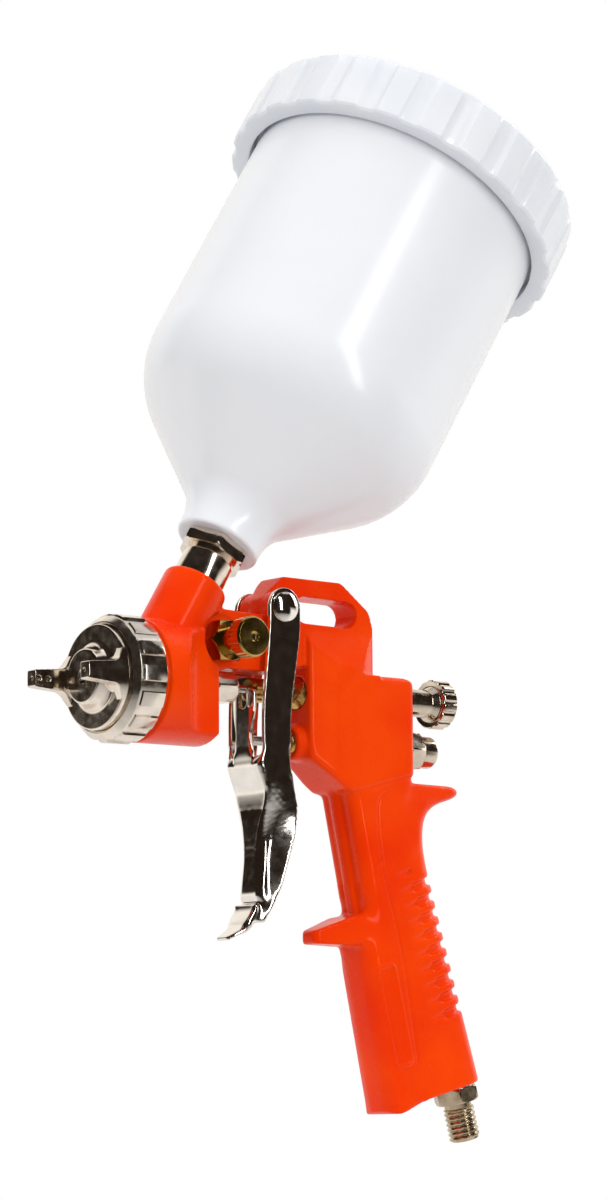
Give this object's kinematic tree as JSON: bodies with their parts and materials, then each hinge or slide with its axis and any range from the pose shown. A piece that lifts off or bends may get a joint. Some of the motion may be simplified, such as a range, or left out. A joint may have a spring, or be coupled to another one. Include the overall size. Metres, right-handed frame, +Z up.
{
  "type": "gravity-feed spray gun",
  "caption": "Hand-held spray gun with a top cup and lid, trigger, fluid needle, air valve, pattern valve, air cap with two horns and a threaded air inlet.",
  "frame": {"origin": "centre of the hanging slot in the hook block, on the gun's middle plane", "axes": "+X forward out of the nozzle, +Y to the gun's left, +Z up, with the spray axis level"},
  "size_m": [0.1861, 0.1106, 0.3393],
  "materials": {
    "orange_enamel": "glossy orange-red enamel on an aluminium casting",
    "nickel": "nickel plate, warm grey, polished",
    "steel": "turned stainless steel",
    "chrome": "chrome plate over pressed sheet",
    "brass": "bare machined brass",
    "milky_plastic": "milky translucent nylon, smooth",
    "lid_plastic": "white polypropylene, satin",
    "filter_plastic": "moulded filter plastic",
    "ptfe": "PTFE packing",
    "seal": "black nitrile seal",
    "seal_white": "white polyethylene foam gasket"
  },
  "bodies": {
    "gun": {"gun_body": "orange_enamel", "fluid_nozzle": "steel", "air_distributor": "brass", "nozzle_gasket": "seal", "needle_packing": "ptfe", "packing_nut": "nickel", "needle_guide_bush": "brass", "needle_spring": "steel", "pattern_housing": "brass", "pattern_seal": "seal", "air_valve_bush": "brass", "air_valve_spring": "steel", "air_valve_cap": "nickel", "air_valve_gasket": "seal", "trigger_pin": "chrome", "trigger_pin_clip": "steel", "air_inlet": "nickel", "inlet_washer": "steel"},
    "trigger": {"trigger": "chrome"},
    "needle": {"fluid_needle": "steel", "needle_collar": "brass", "needle_chuck": "brass"},
    "air_valve": {"air_valve_stem": "steel", "air_valve_poppet": "brass"},
    "fluid_control": {"fluid_knob": "nickel"},
    "pattern_control": {"pattern_knob": "brass", "pattern_needle": "brass"},
    "cap": {"air_cap": "nickel"},
    "cap_ring": {"air_cap_ring": "nickel", "cap_clip": "steel"},
    "cup": {"cup_adapter": "nickel", "cup": "milky_plastic", "paint_strainer": "filter_plastic"},
    "lid": {"lid": "lid_plastic", "lid_gasket": "seal_white"},
    "vent": {"vent_cap": "lid_plastic"}
  },
  "joints": [
    {"name": "trigger_pull", "type": "hinge", "parent": "gun", "child": "trigger", "pos_m": [0.0191, 0, 0], "axis": [0, 1, 0], "range_deg": [0, 10], "stiffness_Nm_per_rad": 2, "springref_deg": -8.59},
    {"name": "needle_travel", "type": "slide", "parent": "gun", "child": "needle", "axis": [-1, 0, 0], "range_m": [0, 0.005], "deforming": ["needle_spring"]},
    {"name": "air_valve_travel", "type": "slide", "parent": "gun", "child": "air_valve", "axis": [-1, 0, 0], "range_m": [0, 0.0075], "deforming": ["air_valve_spring"]},
    {"name": "fluid_knob_turn", "type": "hinge", "parent": "gun", "child": "fluid_control", "pos_m": [-0.0425, 0, -0.0252], "axis": [-1, 0, 0], "range_deg": [0, 1080]},
    {"name": "pattern_knob_turn", "type": "hinge", "parent": "gun", "child": "pattern_control", "pos_m": [0.0419, 0.015, -0.0122], "axis": [0, 1, 0], "range_deg": [0, 720]},
    {"name": "air_cap_turn", "type": "hinge", "parent": "gun", "child": "cap", "pos_m": [0.0825, 0, -0.0252], "axis": [1, 0, 0], "range_deg": [-90, 90]},
    {"name": "cap_ring_turn", "type": "hinge", "parent": "gun", "child": "cap_ring", "pos_m": [0.0765, 0, -0.0252], "axis": [1, 0, 0], "range_deg": [0, 180]},
    {"name": "cup_unscrew", "type": "hinge", "parent": "gun", "child": "cup", "pos_m": [0.0341, 0, 0.02568], "axis": [-0.5299, 0, 0.848], "range_deg": [0, 360]},
    {"name": "lid_unscrew", "type": "hinge", "parent": "cup", "child": "lid", "pos_m": [-0.03743, 0, 0.14017], "axis": [-0.5299, 0, 0.848], "range_deg": [0, 360]},
    {"name": "vent_cap_lift", "type": "slide", "parent": "lid", "child": "vent", "axis": [-0.5299, 0, 0.848], "range_m": [0, 0.004]}
  ],
  "couplings": [
    {"joint": "needle_travel", "follows": "trigger_pull", "m_per_rad": 0.0281},
    {"joint": "air_valve_travel", "follows": "trigger_pull", "m_per_rad": 0.0415}
  ]
}
